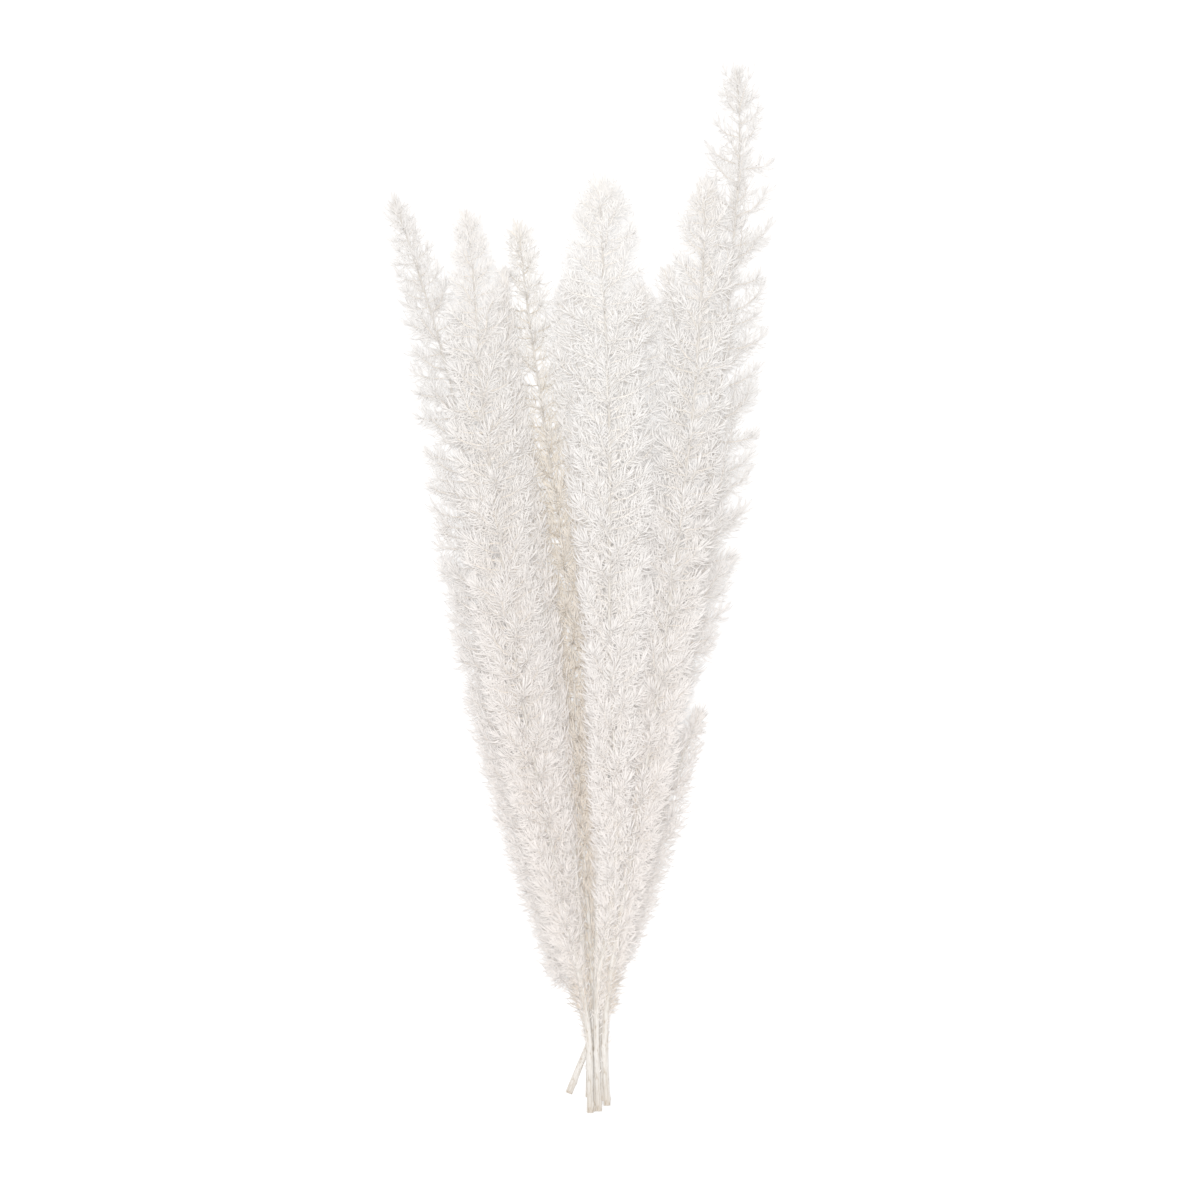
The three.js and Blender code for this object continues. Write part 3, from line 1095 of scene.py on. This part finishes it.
@dataclass
class Stem:
    """A woody stem: ridged, with knobs where old shoots broke off, and a flat cut at its foot."""

    plume: Plume
    sides: int = 24
    ridges: int = 7
    cut_share: float = 0.03
    bare_step: float = 1.0 * MM
    hidden_step: float = 6.0 * MM
    knob_gap: float = 7.5 * MM

    def __post_init__(self) -> None:
        """Starts the stem's random numbers."""
        self.rng = np.random.default_rng(self.plume.seed + 500)

    def build(self, material: Material) -> bpy.types.Object:
        """Makes the stem.

        Its radius is the frame's, times one plus a small wave round it for the ridges, whose phase
        drifts along the stem, plus a rounded bump at every knob.

        Args:
            material: The bark's finish.

        Returns:
            The piece.
        """
        rng, route, length = self.rng, self.plume.route, self.plume.route.length
        bare = self.plume.room.lengths[0] + 25.0 * MM
        steps = (np.arange(0.0, bare, self.bare_step), np.arange(bare, length, self.hidden_step))
        rows = np.concatenate([*steps, [length]])
        angle = 2.0 * np.pi * np.arange(self.sides) / self.sides
        drift = 0.9 * np.sin(rows / (38.0 * MM) + rng.uniform(0, 6.0)) + rows / (120.0 * MM)
        wave = np.cos(self.ridges * (angle[None, :] + drift[:, None] * 0.35))
        wave += 0.5 * np.cos(3.0 * angle[None, :] - drift[:, None])
        swell = 1.0 + 0.045 * wave + 0.05 * np.sin(rows / (9.0 * MM) + rng.uniform(0, 6.0))[:, None]
        hidden = ease((rows - bare) / (60.0 * MM))
        radius = self.plume.stem_radius(rows)[:, None] * swell * (0.97 - 0.32 * hidden[:, None])
        radius = radius + self.knobs(rows, angle)
        place = route.station(rows)
        directions = (np.cos(angle)[None, :, None] * place.side[:, None, :]
                      - np.sin(angle)[None, :, None] * place.rise[:, None, :])
        tube = place.points[:, None, :] + radius[..., None] * directions
        shares = np.array([0.0, 0.3, 0.6, 0.86, 0.97])
        foot = place.points[0]
        dish = np.array([0.35, 0.30, 0.15, 0.05, -0.05]) * MM
        cut = foot + shares[:, None, None] * (tube[0] - foot) + dish[:, None, None] * place.along[0]
        end = place.points[-1:, None, :] + 0.4 * MM * place.along[-1:, None, :]
        rings = np.concatenate([cut, tube, np.repeat(end, self.sides, axis=1)])
        rings[..., 2] = np.maximum(rings[..., 2], 0.1 * MM)
        above = self.cut_share + (1 - self.cut_share) * rows / length
        up = np.concatenate([shares * self.cut_share, above, [1.0]])
        maps = np.empty((len(rings), self.sides + 1, 2))
        maps[..., 0] = up[:, None]
        maps[..., 1] = np.linspace(0.0, 1.0, self.sides + 1)[None, :]
        parts = MeshParts()
        add_skin(parts, rings[:, ::-1], maps[:, ::-1])
        return parts.build(f"bark_{self.plume.name}", material)

    def knobs(self, rows: Array, angle: Array) -> Array:
        """Bumps where old shoots broke off, spaced in a loose spiral.

        Each bump is its height times e to minus the squared distance from its middle, measured
        along and round the stem in its own size.

        Args:
            rows: Lengths along the stem.
            angle: Angles round it.

        Returns:
            The added radius at every row and angle.
        """
        rng, places = self.rng, np.arange(6.0 * MM, rows[-1], self.knob_gap)
        places = places + rng.uniform(-2.5, 2.5, len(places)) * MM
        turns = np.arange(len(places)) * GOLDEN_ANGLE + rng.normal(0.0, 0.3, len(places))
        heights = rng.uniform(0.2, 0.75, len(places)) * MM
        stem = self.plume.stem_radius(places)
        gap = (rows[:, None, None] - places[None, None, :]) / (1.3 * MM)
        arc = np.angle(np.exp(1j * (angle[None, :, None] - turns[None, None, :]))) * stem / (1.0 * MM)
        return np.sum(heights * np.exp(-gap**2 - arc**2), axis=-1)


@dataclass
class Bundle:
    """All the plumes of the bundle."""

    middle: str = "middle_low"
    gap: Span = (1.0 * MM, 7.5 * MM)
    first_seed: int = 41

    def build(self) -> None:
        """Grows every plume in place of its plain solids."""
        needles = {bleach: finish.make() for bleach, finish in NEEDLE_FINISHES.items()}
        bark = StemFinish(cut_share=Stem.cut_share).make()
        names = sorted(name[len("stem_"):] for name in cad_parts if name.startswith("stem_"))
        plumes = {
            name: Plume(name, GROWTHS.get(name, Growth()), self.first_seed + number)
            for number, name in enumerate(names)
        }
        parting = Parting(plumes[self.middle].route, *self.gap)
        for name, plume in plumes.items():
            beside = None if name == self.middle else parting
            foliage = Foliage(plume, beside).build(needles[plume.growth.bleach])
            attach(foliage, "root")
            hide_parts(f"foliage_{name}")
            stem = Stem(plume).build(bark)
            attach(stem, "root")
            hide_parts(f"stem_{name}")


# Studio


@dataclass
class Studio:
    """A white surface, soft light from all round, and a camera that looks straight down."""

    frame_width: float = 0.744
    aim: Span = (0.0124, -0.0048)
    camera_height: float = 3.2
    sensor: float = 36.0
    floor_size: float = 24.0
    tone_curve: float = 2.02
    sky: float = 0.45
    sky_colour: Colour = (1.0, 0.96, 0.925)
    key_power: float = 155.0
    key_colour: Colour = (1.0, 0.985, 0.978)
    key_size: float = 0.45
    key_place: Triple = (-0.06, 0.08, 3.8)

    def build(self) -> None:
        """Sets the surface, the lights and the camera."""
        scene = bpy.context.scene
        scene.view_settings.view_transform = "Standard"
        scene.view_settings.look = "None"
        scene.view_settings.gamma = self.tone_curve
        self.add_floor()
        self.add_sky()
        self.add_key()
        self.add_camera()

    def add_floor(self) -> None:
        """Adds the surface that the bundle lies on."""
        half = self.floor_size / 2.0
        corners = [(-half, -half, 0.0), (half, -half, 0.0), (half, half, 0.0), (-half, half, 0.0)]
        mesh = bpy.data.meshes.new("surface")
        mesh.from_pydata(corners, [], [(0, 1, 2, 3)])
        mesh.materials.append(FloorFinish().make())
        floor = bpy.data.objects.new("surface", mesh)
        bpy.context.scene.collection.objects.link(floor)

    def add_sky(self) -> None:
        """Adds even warm light from all round."""
        world = bpy.data.worlds.new("soft_room")
        world.use_nodes = True
        background = world.node_tree.nodes["Background"]
        background.inputs["Color"].default_value = (*self.sky_colour, 1.0)
        background.inputs["Strength"].default_value = self.sky
        bpy.context.scene.world = world

    def add_key(self) -> None:
        """Adds one large soft light above and to one side."""
        light = bpy.data.lights.new("softbox", "AREA")
        light.energy = self.key_power
        light.color = self.key_colour
        light.size = self.key_size
        lamp = bpy.data.objects.new("softbox", light)
        lamp.location = self.key_place
        aim = np.arctan2(math.hypot(*self.key_place[:2]), self.key_place[2])
        turn = math.atan2(self.key_place[1], self.key_place[0])
        lamp.rotation_euler = (0.0, float(aim), turn)
        bpy.context.scene.collection.objects.link(lamp)

    def add_camera(self) -> None:
        """Adds the camera, with the tips of the bundle at the top of its view."""
        scene = bpy.context.scene
        low, high = CAD_BOX
        middle = (high[2] - low[2]) / 2.0
        camera = bpy.data.cameras.new("camera")
        camera.sensor_width = self.sensor
        camera.lens = self.sensor * self.camera_height / self.frame_width
        camera.clip_end = 50.0
        view = bpy.data.objects.new("camera", camera)
        centre = ((low[0] + high[0]) / 2.0, (low[1] + high[1]) / 2.0)
        view.location = (centre[0] + self.aim[0], centre[1] + self.aim[1], middle + self.camera_height)
        scene.collection.objects.link(view)
        scene.camera = view


def main() -> None:
    """Builds the studio and the bundle."""
    logging.basicConfig(level=logging.INFO, format="%(name)s: %(message)s")
    Studio().build()
    Bundle().build()


if __name__ == "__main__":
    main()
